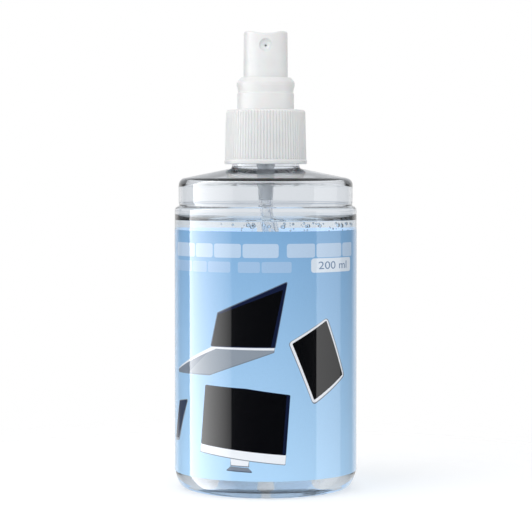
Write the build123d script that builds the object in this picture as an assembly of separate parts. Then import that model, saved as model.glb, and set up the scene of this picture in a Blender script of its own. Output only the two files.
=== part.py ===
from build123d import *
import math
import os

# Lens cleaning spray: a round 200 ml bottle with a fine-mist pump, in millimetres.
# The origin is the centre of the base. +Z is up, and the nozzle faces -Y.

# ---------------------------------------------------------------- driving dimensions

# Bottle
BODY_R = 28.42              # outside of the wall, under the label
BODY_TOP_Z = 86.8           # where the straight wall ends
BAND_R = 27.2               # narrower band under the shoulder
BAND_FOOT_Z = 88.4          # crease between the body and the band
BAND_TOP_Z = 96.9           # corner of band and shoulder, before rounding
SHOULDER_TOP_Z = 100.0      # foot of the neck
WALL = 0.8
FOOT_RING_R = 20.5          # inner edge of the ring that the bottle stands on
PUSH_UP = 2.6               # height of the hollow under the base
BASE_THICKNESS = 1.4
NECK_R = 10.55              # neck between the thread turns
NECK_BORE_R = 8.9
NECK_TOP_Z = 114.6

# Screw thread of the neck and the closure, right-handed
PITCH = 3.175
NECK_THREAD_R = 11.62       # crest
NECK_THREAD_Z = 106.4       # middle of the ridge where it starts
NECK_THREAD_TURNS = 1.5
CLOSURE_BORE_R = 11.78      # inside of the skirt, between the turns
CLOSURE_THREAD_R = 10.74    # crest, towards the axis
CLOSURE_THREAD_TURNS = 1.0

# Label and liquid
LABEL_R = 28.5
LABEL_FOOT_Z = 5.7
LABEL_TOP_Z = 81.0
LABEL_GAP = 3.0             # open strip at the back, where the film's ends meet
LIQUID_TOP_Z = 84.8

# Closure
CLOSURE_FOOT_Z = 101.3
CLOSURE_TOP_Z = 118.2
FLANGE_R = 13.0             # plain rim round the foot
FLANGE_HEIGHT = 1.4
RIB_FOOT_R = 12.7
RIB_TOP_R = 12.35
RIB_DEPTH = 0.24
RIB_COUNT = 80
CLOSURE_ROOF = 1.1
CLOSURE_CORNER = 1.0

# Pump, fixed parts
COLLAR_R = 8.85             # seat of an overcap
COLLAR_WAIST_R = 8.78       # where the closure turns on the collar
COLLAR_SEAT_Z = 118.3       # foot of the seat
COLLAR_GROOVE_Z = 123.7     # middle of the groove
COLLAR_GROOVE_R = 8.6
COLLAR_BEAD_R = 9.05
COLLAR_MOUTH_R = 7.85       # outside, at the chamfered mouth
COLLAR_BORE_R = 7.2
COLLAR_TOP_Z = 128.2
PUMP_FLANGE_R = 10.5
HOUSING_BORE_R = 3.3
HOUSING_R = 4.2
HOUSING_TOP_Z = 116.3
SPRING_SEAT_Z = 102.4
TUBE_R = 1.95
TUBE_BORE_R = 1.35
TUBE_TOP_Z = 97.5
TUBE_FOOT_Z = 4.6
TUBE_BEND_Z = 88.0          # the tube is straight above here and leans to +X below
TUBE_BEND_R = 45.0
TUBE_FOOT_X = 13.0
TUBE_SHAFT_GAP = 1.3        # between the tube and the liquid's solid
TAIL_FOOT_Z = 90.0
GLAND_R = 4.7
GLAND_TOP_Z = 121.5
GLAND_FLANGE_R = 6.55
GLAND_FLANGE = 0.8
GLAND_ROOF = 1.2
STEM_SEAL = 0.8             # thickness of the stem seal
GASKET = 0.9                # thickness of the neck gasket

# Pump, moving parts, all drawn at rest (button up)
RUNNING = 0.04              # radial clearance of the sliding fits
STEM_R = 2.0
STEM_BORE_R = 1.1
STEM_FOOT_Z = 115.6
STEM_TOP_Z = 134.0
ROD_R = 1.5
VALVE_HEAD_R = 2.5
VALVE_SEAT_Z = 111.2        # top edge of the valve head's cone
VALVE_HEAD_FOOT_Z = 109.8
PISTON_TOP_Z = 114.9
SEAT_CONE = 0.8             # height of the cone between the rod and the valve head's rim
STEM_FLANGE = 1.0           # thickness of the flange that stops the stem under its seal
STEM_FLANGE_TOP_Z = 119.3
BALL_R = 1.2
BALL_Z = 99.9               # middle of the ball on its seat

# Button
BUTTON_FOOT_Z = 123.0
BUTTON_FOOT_R = 6.98
BUTTON_TOP_R = 6.8
BUTTON_TOP_Z = 142.5
BUTTON_BORE_R = 5.9         # inside of the skirt
BUTTON_CEILING_Z = 135.6
BOSS_R = 3.2                # boss that takes the stem
BOSS_FOOT_Z = 127.5
DISH_WIDTH = 10.0
DISH_DEPTH = 0.75
NOZZLE_Z = 137.9
NOZZLE_R = 1.75
NOZZLE_RECESS_R = 1.95
NOZZLE_FACE_Y = -6.0
NOZZLE_BACK_Y = -3.4
NOZZLE_POST_R = 0.9         # the liquid swirls round this post, inside the insert
ORIFICE_R = 0.2

os.makedirs("parts", exist_ok=True)


# ---------------------------------------------------------------- helpers

def turned(*corners):
    """Solid of revolution about Z. A corner is (radius, height) or (radius, height, fillet)."""
    points = [(corner[0], corner[1]) for corner in corners]
    fillets = [corner[2] if len(corner) == 3 else 0 for corner in corners]
    outline = FilletPolyline(*points, radius=fillets, close=True)
    return revolve(Plane.XZ * make_face(outline.edges()), Axis.Z)


def ring(outer_r, inner_r, foot_z, top_z):
    """Plain ring or, with inner_r 0, a plain disc about Z."""
    return turned((inner_r, foot_z), (outer_r, foot_z), (outer_r, top_z), (inner_r, top_z))


def rod_along_y(radius, height, front_y, back_y):
    """Round rod parallel to Y, at the given height on the axis plane."""
    place = Location((0, (front_y + back_y) / 2, height), (90, 0, 0))
    return place * Cylinder(radius, back_y - front_y)


def thread_ridge(root_r, crest_r, start_z, turns, root_half, crest_half):
    """Helical ridge from a wall at root_r to its crest; its foot is sunk a little in the wall."""
    height = crest_r - root_r
    sunk = math.copysign(0.15, height)
    foot_r = root_r - sunk
    foot_half = root_half + (root_half - crest_half) * sunk / height
    path = Helix(PITCH, PITCH * turns, foot_r, center=(0, 0, start_z))
    outline = Polyline(
        (foot_r, 0, start_z - foot_half),
        (crest_r, 0, start_z - crest_half),
        (crest_r, 0, start_z + crest_half),
        (foot_r, 0, start_z + foot_half),
        close=True,
    )
    return sweep(make_face(outline.edges()), path=path, is_frenet=True)


def coil(mean_r, wire_r, foot_z, top_z, turns):
    """Compression spring with its wire inside the given heights."""
    lift = top_z - foot_z - 2 * wire_r
    path = Helix(lift / turns, lift, mean_r, center=(0, 0, foot_z + wire_r))
    start = Plane(origin=path @ 0, z_dir=path % 0)
    return sweep(start * Circle(wire_r), path=path, is_frenet=True)


# ---------------------------------------------------------------- bottle, label, liquid

def make_bottle():
    inner_r = BODY_R - WALL
    band_inner_r = BAND_R - WALL
    body = turned(
        (0, PUSH_UP),
        (FOOT_RING_R - 4.5, PUSH_UP - 1.1, 8),
        (FOOT_RING_R, 0, 1.5),
        (BODY_R - 2.46, 0, 3.2),
        (BODY_R, 3.86, 9.2),
        (BODY_R, BODY_TOP_Z + 0.9, 1.4),
        (BAND_R - 0.25, BAND_FOOT_Z, 0.25),
        (BAND_R, BAND_FOOT_Z + 1.0, 0.6),
        (BAND_R, BAND_TOP_Z - 0.3, 2.4),
        (NECK_R, SHOULDER_TOP_Z, 0.9),
        (NECK_R, NECK_TOP_Z, 0.3),
        (NECK_BORE_R, NECK_TOP_Z, 0.3),
        (NECK_BORE_R, SHOULDER_TOP_Z - 1.0, 1.2),
        (band_inner_r, BAND_TOP_Z - 1.3, 1.8),
        (band_inner_r, BAND_FOOT_Z + 1.0, 0.6),
        (band_inner_r - 0.25, BAND_FOOT_Z, 0.4),
        (inner_r, BODY_TOP_Z + 0.6, 0.8),
        (inner_r, 4.5, 8.4),
        (inner_r - 2.3, 1.1, 2.8),
        (FOOT_RING_R - 0.3, 1.1, 1.5),
        (FOOT_RING_R - 4.5, PUSH_UP + BASE_THICKNESS - 1.1, 8),
        (0, PUSH_UP + BASE_THICKNESS),
    )
    thread = thread_ridge(NECK_R, NECK_THREAD_R, NECK_THREAD_Z, NECK_THREAD_TURNS, 1.05, 0.35)
    return body + thread


def make_label():
    film = ring(LABEL_R, BODY_R, LABEL_FOOT_Z, LABEL_TOP_Z)
    middle_z = (LABEL_FOOT_Z + LABEL_TOP_Z) / 2
    gap = Location((0, LABEL_R, middle_z)) * Box(LABEL_GAP, 4, LABEL_TOP_Z)
    return film - gap


def tube_run(radius, foot_z, top_z):
    """Solid round the dip tube's bent centreline, from its foot up to top_z."""
    lean = TUBE_FOOT_X / (TUBE_BEND_Z - TUBE_FOOT_Z)
    foot_x = lean * (TUBE_BEND_Z - foot_z)
    route = FilletPolyline((0, 0, top_z), (0, 0, TUBE_BEND_Z), (foot_x, 0, foot_z), radius=TUBE_BEND_R)
    return sweep(Plane(origin=(0, 0, top_z), z_dir=(0, 0, -1)) * Circle(radius), path=route)


def make_liquid():
    """The shaft round the tube is wide enough for the tube to rise with the pump."""
    inner_r = BODY_R - WALL
    fill = turned(
        (0, PUSH_UP + BASE_THICKNESS),
        (FOOT_RING_R - 4.5, PUSH_UP + BASE_THICKNESS - 1.1, 8),
        (FOOT_RING_R - 0.3, 1.1, 1.5),
        (inner_r - 2.3, 1.1, 2.8),
        (inner_r, 4.5, 8.4),
        (inner_r, LIQUID_TOP_Z),
        (0, LIQUID_TOP_Z),
    )
    return fill - tube_run(TUBE_R + TUBE_SHAFT_GAP, 0, LIQUID_TOP_Z + 8)


# ---------------------------------------------------------------- closure

def ribbed_outline(radius):
    """Closed outline with RIB_COUNT flat-topped ribs."""
    step = 360 / RIB_COUNT
    corners = []
    for rib in range(RIB_COUNT):
        for share, depth in ((0.0, 0), (0.3, 0), (0.5, RIB_DEPTH), (0.8, RIB_DEPTH)):
            angle = math.radians((rib + share) * step)
            reach = radius - depth
            corners.append((reach * math.cos(angle), reach * math.sin(angle)))
    return make_face(Polyline(*corners, close=True).edges())


def make_closure():
    flange_top_z = CLOSURE_FOOT_Z + FLANGE_HEIGHT
    roof_z = CLOSURE_TOP_Z - CLOSURE_ROOF
    foot = Pos(0, 0, flange_top_z - 0.4) * ribbed_outline(RIB_FOOT_R)
    top = Pos(0, 0, CLOSURE_TOP_Z) * ribbed_outline(RIB_TOP_R)
    skirt = loft([foot, top], ruled=True)
    rounded = turned(
        (0, CLOSURE_FOOT_Z),
        (FLANGE_R + 1, CLOSURE_FOOT_Z),
        (FLANGE_R + 1, CLOSURE_TOP_Z - 3),
        (RIB_TOP_R + 0.06, CLOSURE_TOP_Z - 3),
        (RIB_TOP_R, CLOSURE_TOP_Z, CLOSURE_CORNER),
        (0, CLOSURE_TOP_Z),
    )
    flange = turned(
        (0, CLOSURE_FOOT_Z),
        (FLANGE_R - 0.1, CLOSURE_FOOT_Z, 0.3),
        (FLANGE_R, flange_top_z - 0.2, 0.4),
        (RIB_FOOT_R - 0.1, flange_top_z, 0.1),
        (0, flange_top_z),
    )
    narrow_z = 112.6
    cavity = turned(
        (0, CLOSURE_FOOT_Z - 1),
        (CLOSURE_BORE_R + 0.2, CLOSURE_FOOT_Z - 1),
        (CLOSURE_BORE_R + 0.2, CLOSURE_FOOT_Z),
        (CLOSURE_BORE_R, CLOSURE_FOOT_Z + 0.4),
        (CLOSURE_BORE_R, narrow_z),
        (PUMP_FLANGE_R + 0.3, narrow_z + 1.2),
        (PUMP_FLANGE_R + 0.3, roof_z),
        (0, roof_z),
    )
    mouth = ring(COLLAR_WAIST_R + 0.1, 0, roof_z - 1, CLOSURE_TOP_Z + 1)
    start_z = NECK_THREAD_Z - PITCH / 2
    thread = thread_ridge(
        CLOSURE_BORE_R, CLOSURE_THREAD_R, start_z, CLOSURE_THREAD_TURNS, 0.95, 0.3)
    return ((skirt & rounded) + flange) - cavity - mouth + thread


# ---------------------------------------------------------------- pump, fixed parts

def make_collar():
    """Turret on the closure; its foot flange is held down by the closure's roof."""
    flange_top_z = CLOSURE_TOP_Z - CLOSURE_ROOF - 0.05
    floor_top_z = CLOSURE_TOP_Z - 0.2
    gland_flange_z = HOUSING_TOP_Z + GLAND_FLANGE
    recess_r = GLAND_FLANGE_R + 0.05
    return turned(
        (PUMP_FLANGE_R, HOUSING_TOP_Z),
        (PUMP_FLANGE_R, flange_top_z),
        (COLLAR_WAIST_R, flange_top_z),
        (COLLAR_WAIST_R, COLLAR_SEAT_Z),
        (COLLAR_R, COLLAR_SEAT_Z),
        (COLLAR_R, COLLAR_GROOVE_Z - 1.1, 0.4),
        (COLLAR_GROOVE_R, COLLAR_GROOVE_Z - 0.3, 0.2),
        (COLLAR_GROOVE_R, COLLAR_GROOVE_Z + 0.3, 0.2),
        (COLLAR_BEAD_R, COLLAR_TOP_Z - 2.5, 1.0),
        (COLLAR_BEAD_R, COLLAR_TOP_Z - 1.5, 0.7),
        (COLLAR_MOUTH_R, COLLAR_TOP_Z, 0.5),
        (COLLAR_BORE_R, COLLAR_TOP_Z, 0.2),
        (COLLAR_BORE_R, floor_top_z, 0.5),
        (GLAND_R + 0.02, floor_top_z),
        (GLAND_R + 0.02, gland_flange_z),
        (recess_r, gland_flange_z),
        (recess_r, HOUSING_TOP_Z),
    )


def make_housing():
    """Cylinder, ball chamber, inlet seat and tail, in one piece with the flange."""
    flange_foot_z = NECK_TOP_Z + GASKET
    chamber_r = 1.65
    seat_r = 1.0
    seat_z = BALL_Z - math.sqrt(BALL_R ** 2 - seat_r ** 2) - 0.02
    nib_r = BALL_R - 0.1
    return turned(
        (HOUSING_BORE_R, HOUSING_TOP_Z),
        (PUMP_FLANGE_R, HOUSING_TOP_Z),
        (PUMP_FLANGE_R, flange_foot_z),
        (HOUSING_R, flange_foot_z, 0.5),
        (HOUSING_R, SPRING_SEAT_Z + 0.3, 0.5),
        (2.9, SPRING_SEAT_Z - 1.0, 0.5),
        (2.9, TUBE_TOP_Z + 0.5, 0.4),
        (2.55, TUBE_TOP_Z - 0.3, 0.3),
        (2.25, TAIL_FOOT_Z),
        (TUBE_R, TAIL_FOOT_Z),
        (TUBE_R, TUBE_TOP_Z),
        (seat_r, TUBE_TOP_Z),
        (seat_r, seat_z),
        (chamber_r, seat_z + 0.8),
        (chamber_r, SPRING_SEAT_Z - 0.5),
        (nib_r, SPRING_SEAT_Z - 0.4),
        (nib_r, SPRING_SEAT_Z - 0.1),
        (chamber_r, SPRING_SEAT_Z),
        (HOUSING_BORE_R, SPRING_SEAT_Z, 0.2),
    )


def make_gland():
    """Hat over the top of the cylinder; its roof guides the stem."""
    flange_top_z = HOUSING_TOP_Z + GLAND_FLANGE
    roof_z = GLAND_TOP_Z - GLAND_ROOF
    return turned(
        (HOUSING_BORE_R, HOUSING_TOP_Z),
        (GLAND_FLANGE_R, HOUSING_TOP_Z),
        (GLAND_FLANGE_R, flange_top_z),
        (GLAND_R, flange_top_z),
        (GLAND_R, GLAND_TOP_Z, 0.5),
        (STEM_R + RUNNING, GLAND_TOP_Z, 0.2),
        (STEM_R + RUNNING, roof_z),
        (HOUSING_BORE_R, roof_z),
    )


def make_stem_seal():
    top_z = GLAND_TOP_Z - GLAND_ROOF
    return ring(HOUSING_BORE_R, STEM_R + RUNNING, top_z - STEM_SEAL, top_z)


def make_neck_gasket():
    return ring(NECK_R - 0.1, 6.2, NECK_TOP_Z, NECK_TOP_Z + GASKET)


def make_dip_tube():
    """Tube that leans to one side below the neck, with a slanting cut at its foot."""
    start_z = TUBE_FOOT_Z - 4
    tube = tube_run(TUBE_R, start_z, TUBE_TOP_Z)
    bore = tube_run(TUBE_BORE_R, start_z - 1, TUBE_TOP_Z)
    cut = Location((TUBE_FOOT_X, 0, TUBE_FOOT_Z - 4), (0, 30, 0)) * Box(20, 20, 8)
    return tube - bore - cut


# ---------------------------------------------------------------- pump, moving parts

def make_stem():
    flange_r = HOUSING_BORE_R - 0.3
    flange_foot_z = STEM_FLANGE_TOP_Z - STEM_FLANGE
    return turned(
        (STEM_R, STEM_FOOT_Z, 0.2),
        (STEM_R, flange_foot_z),
        (flange_r, flange_foot_z),
        (flange_r, STEM_FLANGE_TOP_Z),
        (STEM_R, STEM_FLANGE_TOP_Z),
        (STEM_R, STEM_TOP_Z, 0.3),
        (STEM_BORE_R, STEM_TOP_Z),
        (STEM_BORE_R, STEM_FOOT_Z),
    )


def make_valve_rod():
    """Fluted rod that plugs into the stem, with the valve head and a pilot for the spring."""
    pilot_r = 1.6
    pilot_foot_z = VALVE_HEAD_FOOT_Z - 2.5
    plug_top_z = STEM_FOOT_Z + 1.8
    rod = turned(
        (0, pilot_foot_z),
        (pilot_r, pilot_foot_z, 0.4),
        (pilot_r, VALVE_HEAD_FOOT_Z),
        (VALVE_HEAD_R, VALVE_HEAD_FOOT_Z),
        (VALVE_HEAD_R, VALVE_SEAT_Z - SEAT_CONE),
        (ROD_R, VALVE_SEAT_Z),
        (ROD_R, STEM_FOOT_Z),
        (STEM_BORE_R, STEM_FOOT_Z),
        (STEM_BORE_R, plug_top_z, 0.2),
        (0, plug_top_z),
    )
    flute_height = plug_top_z - VALVE_SEAT_Z + 1
    flute = Pos(ROD_R - 0.15, 0, VALVE_SEAT_Z + flute_height / 2) * Cylinder(0.5, flute_height)
    for turn in range(4):
        rod = rod - Rot(0, 0, 90 * turn) * flute
    return rod


def make_piston():
    """Sleeve on the rod with a wiping lip at each end."""
    foot_z = VALVE_SEAT_Z
    lip_r = HOUSING_BORE_R - RUNNING
    waist_r = 2.8
    skirt_z = foot_z - 0.2
    return turned(
        (ROD_R + RUNNING, foot_z + 0.3),
        (2.2, skirt_z),
        (2.75, skirt_z),
        (lip_r, foot_z),
        (lip_r, foot_z + 0.6),
        (waist_r, foot_z + 1.1),
        (waist_r, PISTON_TOP_Z - 1.1),
        (lip_r, PISTON_TOP_Z - 0.6),
        (lip_r, PISTON_TOP_Z),
        (ROD_R + RUNNING, PISTON_TOP_Z),
    )


def make_return_spring():
    return coil(2.25, 0.25, SPRING_SEAT_Z, VALVE_HEAD_FOOT_Z, 4.5)


def make_preload_spring():
    return coil(2.6, 0.22, PISTON_TOP_Z, STEM_FLANGE_TOP_Z - STEM_FLANGE, 3.5)


def make_inlet_ball():
    return Pos(0, 0, BALL_Z) * Sphere(BALL_R)


# ---------------------------------------------------------------- button

def make_actuator():
    socket_r = STEM_R + RUNNING
    socket_roof_z = STEM_TOP_Z + 0.2
    foot_z = BUTTON_FOOT_Z - 1
    front_y = -10
    button = turned(
        (0, BUTTON_FOOT_Z),
        (BUTTON_FOOT_R, BUTTON_FOOT_Z, 0.2),
        (BUTTON_TOP_R, BUTTON_TOP_Z, 0.6),
        (0, BUTTON_TOP_Z),
    )
    dish_r = (DISH_WIDTH ** 2 / 4 + DISH_DEPTH ** 2) / (2 * DISH_DEPTH)
    dish = rod_along_y(dish_r, BUTTON_TOP_Z - DISH_DEPTH + dish_r, front_y, -front_y)
    hollow = ring(BUTTON_BORE_R, BOSS_R, foot_z, BUTTON_CEILING_Z)
    below_boss = ring(BUTTON_BORE_R, 0, foot_z, BOSS_FOOT_Z)
    socket = ring(socket_r, 0, BUTTON_FOOT_Z, socket_roof_z)
    riser = ring(STEM_BORE_R, 0, socket_roof_z - 1, NOZZLE_Z + 1.6)
    recess = rod_along_y(NOZZLE_RECESS_R, NOZZLE_Z + 0.15, front_y, NOZZLE_FACE_Y)
    seat = rod_along_y(NOZZLE_R, NOZZLE_Z, front_y, NOZZLE_BACK_Y)
    post = rod_along_y(NOZZLE_POST_R, NOZZLE_Z, NOZZLE_BACK_Y - 1.7, NOZZLE_BACK_Y)
    feed = rod_along_y(0.4, NOZZLE_Z + 1.1, NOZZLE_BACK_Y - 0.1, 0)
    return button - dish - hollow - below_boss - socket - riser - recess - (seat - post) - feed


def make_nozzle_insert():
    """Cup with a conical face round the orifice, pressed into the button's seat."""
    wall = 0.8
    cup = rod_along_y(NOZZLE_R, NOZZLE_Z, NOZZLE_FACE_Y, NOZZLE_BACK_Y)
    chamber = rod_along_y(NOZZLE_POST_R + 0.45, NOZZLE_Z, NOZZLE_FACE_Y + wall, NOZZLE_BACK_Y + 0.1)
    orifice = rod_along_y(ORIFICE_R, NOZZLE_Z, NOZZLE_FACE_Y - 1, NOZZLE_FACE_Y + wall + 0.1)
    cone_depth = 0.5
    cone_place = Location((0, NOZZLE_FACE_Y + cone_depth / 2, NOZZLE_Z), (90, 0, 0))
    cone = cone_place * Cone(0.3, 1.3, cone_depth)
    return cup - chamber - orifice - cone


PIECES = {
    "bottle": make_bottle,
    "label": make_label,
    "cleaning_liquid": make_liquid,
    "screw_closure": make_closure,
    "collar": make_collar,
    "pump_housing": make_housing,
    "gland": make_gland,
    "stem_seal": make_stem_seal,
    "neck_gasket": make_neck_gasket,
    "dip_tube": make_dip_tube,
    "pump_stem": make_stem,
    "valve_rod": make_valve_rod,
    "piston": make_piston,
    "return_spring": make_return_spring,
    "preload_spring": make_preload_spring,
    "inlet_ball": make_inlet_ball,
    "actuator": make_actuator,
    "nozzle_insert": make_nozzle_insert,
}

for name, make in PIECES.items():
    export_step(make(), f"parts/{name}.step")
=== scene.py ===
import math
import random

import bpy
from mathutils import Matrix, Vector
from mathutils.geometry import delaunay_2d_cdt


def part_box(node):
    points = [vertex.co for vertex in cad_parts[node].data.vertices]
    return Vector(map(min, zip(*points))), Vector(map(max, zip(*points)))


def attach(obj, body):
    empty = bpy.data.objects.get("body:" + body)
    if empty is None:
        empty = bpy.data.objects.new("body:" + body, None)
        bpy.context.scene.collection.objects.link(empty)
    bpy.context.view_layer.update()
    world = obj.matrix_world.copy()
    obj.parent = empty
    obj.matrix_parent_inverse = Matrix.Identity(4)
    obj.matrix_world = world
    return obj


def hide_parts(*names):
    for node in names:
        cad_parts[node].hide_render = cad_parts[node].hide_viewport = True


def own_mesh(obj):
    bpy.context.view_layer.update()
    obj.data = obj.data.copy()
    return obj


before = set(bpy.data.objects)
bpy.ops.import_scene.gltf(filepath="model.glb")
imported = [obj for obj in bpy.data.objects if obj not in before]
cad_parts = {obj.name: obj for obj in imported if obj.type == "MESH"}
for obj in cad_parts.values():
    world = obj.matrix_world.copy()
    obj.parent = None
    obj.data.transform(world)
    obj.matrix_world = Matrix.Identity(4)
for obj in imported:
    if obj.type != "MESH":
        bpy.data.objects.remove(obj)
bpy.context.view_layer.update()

# Lens cleaning spray. Shapes are worked out in millimetres, in the CAD model's frame:
# +Z is up, the nozzle faces -Y, and the origin is the centre of the base.

MM = 0.001


def box_mm(node):
    low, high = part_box(node)
    return low / MM, high / MM


# ---------------------------------------------------------------- sizes

BOTTLE_STEPS = 256          # columns of the bottle and the liquid
FINE_STEPS = 160            # columns of the pump's turned pieces
ARC_STEP = math.radians(12)
SAME_NORMAL = 0.996         # cosine of the angle at which two faces meet smoothly

# Bottle
BODY_R = 28.42
BODY_TOP_Z = 86.8
BAND_R = 27.2
BAND_FOOT_Z = 88.4
BAND_TOP_Z = 96.9
SHOULDER_TOP_Z = 100.0
WALL = 0.8
NECK_R = 10.55
NECK_BORE_R = 8.9
NECK_TOP_Z = box_mm("bottle")[1].z
FOOT_RING_R = 20.5
PUSH_UP = 2.6
PUSH_UP_DROP = 1.1          # the push-up is this much lower at its edge
BASE_THICKNESS = 1.4

# Screw thread
PITCH = 3.175
THREAD_Z = 106.4
NECK_THREAD_HEIGHT = 1.07
NECK_THREAD_TURNS = 1.5
CLOSURE_THREAD_HEIGHT = 1.04
CLOSURE_THREAD_TURNS = 1.0
RIDGE_ROOT = 1.05           # half width of a ridge at its foot
RIDGE_CREST = 0.35

# Label
LABEL_R = box_mm("label")[1].x
LABEL_FOOT_Z = box_mm("label")[0].z
LABEL_TOP_Z = box_mm("label")[1].z
LABEL_BACK_R = BODY_R + 0.03
LABEL_GAP = 3.0
LABEL_COLUMNS = 240

# Liquid
LIQUID_TOP_Z = box_mm("cleaning_liquid")[1].z
WALL_SOAK = 0.12            # the liquid reaches this far into the wall, so that no air shows between
MENISCUS = 0.9

# Closure
CLOSURE_FOOT_Z, CLOSURE_TOP_Z = box_mm("screw_closure")[0].z, box_mm("screw_closure")[1].z
FLANGE_R = box_mm("screw_closure")[1].x
FLANGE_HEIGHT = 1.4
RIB_FOOT_R = 12.7
RIB_TOP_R = 12.35
RIB_DEPTH = 0.44            # deeper than the CAD's 0.24, so that the ribs show
RIB_COUNT = 80
RIB_COLUMNS = 10            # mesh columns in each rib
CLOSURE_BORE_R = 11.78
CLOSURE_ROOF = 1.1
CAVITY_SHOULDER_Z = 112.6

# Pump
PUMP_FLANGE_R = 10.5
COLLAR_FOOT_Z, COLLAR_TOP_Z = box_mm("collar")[0].z, box_mm("collar")[1].z
COLLAR_WAIST_R = 8.78
COLLAR_R = 8.85
COLLAR_GROOVE_Z = 123.7
COLLAR_GROOVE_R = 8.6
COLLAR_BEAD_R = 9.05
COLLAR_MOUTH_R = 7.85
COLLAR_BORE_R = 7.2
GLAND_R = 4.72
HOUSING_TOP_Z = box_mm("pump_housing")[1].z
TAIL_FOOT_Z = box_mm("pump_housing")[0].z
HOUSING_BORE_R = 3.3
HOUSING_R = 4.2
SPRING_SEAT_Z = 102.4
TUBE_R = 1.95
TUBE_BORE_R = 1.35
TUBE_TOP_Z = 97.5
BALL_R = 1.2

# Button
BUTTON_FOOT_Z = box_mm("actuator")[0].z
BUTTON_TOP_Z = box_mm("actuator")[1].z
BUTTON_FOOT_R = 6.98
BUTTON_TOP_R = 6.8
BUTTON_BORE_R = 5.9
BUTTON_CEILING_Z = 135.6
BOSS_R = 3.2
BOSS_FOOT_Z = 127.5
SOCKET_R = 2.04
SOCKET_ROOF_Z = 134.2
DISH_WIDTH = 9.2
DISH_DEPTH = 0.75
NOZZLE_Z = 137.9
NOZZLE_R = 1.75
NOZZLE_RECESS_R = 1.95
RECESS_Z = NOZZLE_Z + 0.15
NOZZLE_RIM = 0.12           # rounding of the recess's edge
NOZZLE_FACE_Y = box_mm("nozzle_insert")[0].y
NOZZLE_BACK_Y = box_mm("nozzle_insert")[1].y
ORIFICE_R = 0.3             # wider than the CAD's 0.2, so that the hole shows
WINDOW_FOOT_Z = 134.4       # the part of the button's front that has the nozzle's recess
WINDOW_TOP_Z = 141.1
WINDOW_COLUMNS = 16         # to each side of the front line
WINDOW_ROW = 0.4

# Stage, in metres and degrees
CAMERA_PLACE = (0, -0.660, 0.0993)
CAMERA_TILT = 2.592
CAMERA_YAW = -0.009
CAMERA_LENS = 142.8
LAMP_AIM = (0, 0, 0.07)
CARD_DISTANCE = 0.16
CARD_FOOT_Z = -0.16
CARD_TOP_Z = 0.30
FLOOR_R = 0.2
FLOOR_DROP = 0.00005        # keeps the floor clear of the bottle's foot


# ---------------------------------------------------------------- mesh building

class Shell:
    """Mesh under construction. Faces are given by corner points and corner normals."""

    def __init__(self, carve=None):
        self.carve = carve
        self.found = {}
        self.verts = []
        self.faces = []
        self.normals = []
        self.slots = []

    def vertex(self, point):
        key = (round(point[0], 3), round(point[1], 3), round(point[2], 3))
        if key not in self.found:
            self.found[key] = len(self.verts)
            self.verts.append(point)
        return self.found[key]

    def face(self, points, normals, slot=0):
        """Adds a face, anticlockwise from outside. Where carve moves a point, Blender finds the normal."""
        ids = []
        for point, normal in zip(points, normals):
            if self.carve:
                moved = self.carve(point)
                if moved != point:
                    point, normal = moved, (0.0, 0.0, 0.0)
            index = self.vertex(point)
            if index in ids:
                continue
            ids.append(index)
            self.normals.append(normal)
        if len(ids) < 3:
            del self.normals[len(self.normals) - len(ids):]
            return
        self.faces.append(ids)
        self.slots.append(slot)

    def face_of(self, corners, slot=0):
        """Adds a face from its corners, each a point and a normal."""
        self.face([point for point, _ in corners], [normal for _, normal in corners], slot)

    def parts(self):
        """Vertex numbers, points and corner normals of each face."""
        corner = 0
        for face in self.faces:
            yield face, [self.verts[i] for i in face], self.normals[corner:corner + len(face)]
            corner += len(face)

    def creases(self):
        """Edges where the normals of the two faces differ, so that Blender has to keep them apart."""
        sides = {}
        for face, _, normals in self.parts():
            for k, here in enumerate(face):
                following = (k + 1) % len(face)
                there = face[following]
                pair = (normals[k], normals[following])
                if here > there:
                    here, there, pair = there, here, pair[::-1]
                sides.setdefault((here, there), []).append(pair)
        sharp = set()
        for edge, found in sides.items():
            if len(found) != 2:
                continue
            for one, other in zip(*found):
                alike = sum(a * b for a, b in zip(one, other))
                if alike < SAME_NORMAL and any(one) and any(other):
                    sharp.add(edge)
        return sharp

    def build(self, name, body, materials, replaces):
        """Makes the object, which rides on a body and stands for CAD nodes."""
        mesh = bpy.data.meshes.new(name)
        mesh.from_pydata([(x * MM, y * MM, z * MM) for x, y, z in self.verts], [], self.faces)
        for material in materials:
            mesh.materials.append(material)
        mesh.polygons.foreach_set("material_index", self.slots)
        mesh.shade_smooth()
        sharp = self.creases()
        for edge in mesh.edges:
            edge.use_edge_sharp = tuple(sorted(edge.vertices)) in sharp
        mesh.normals_split_custom_set(self.normals)
        mesh.update()
        piece = bpy.data.objects.new(name, mesh)
        bpy.context.scene.collection.objects.link(piece)
        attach(piece, body)
        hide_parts(*replaces)
        return piece


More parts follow.
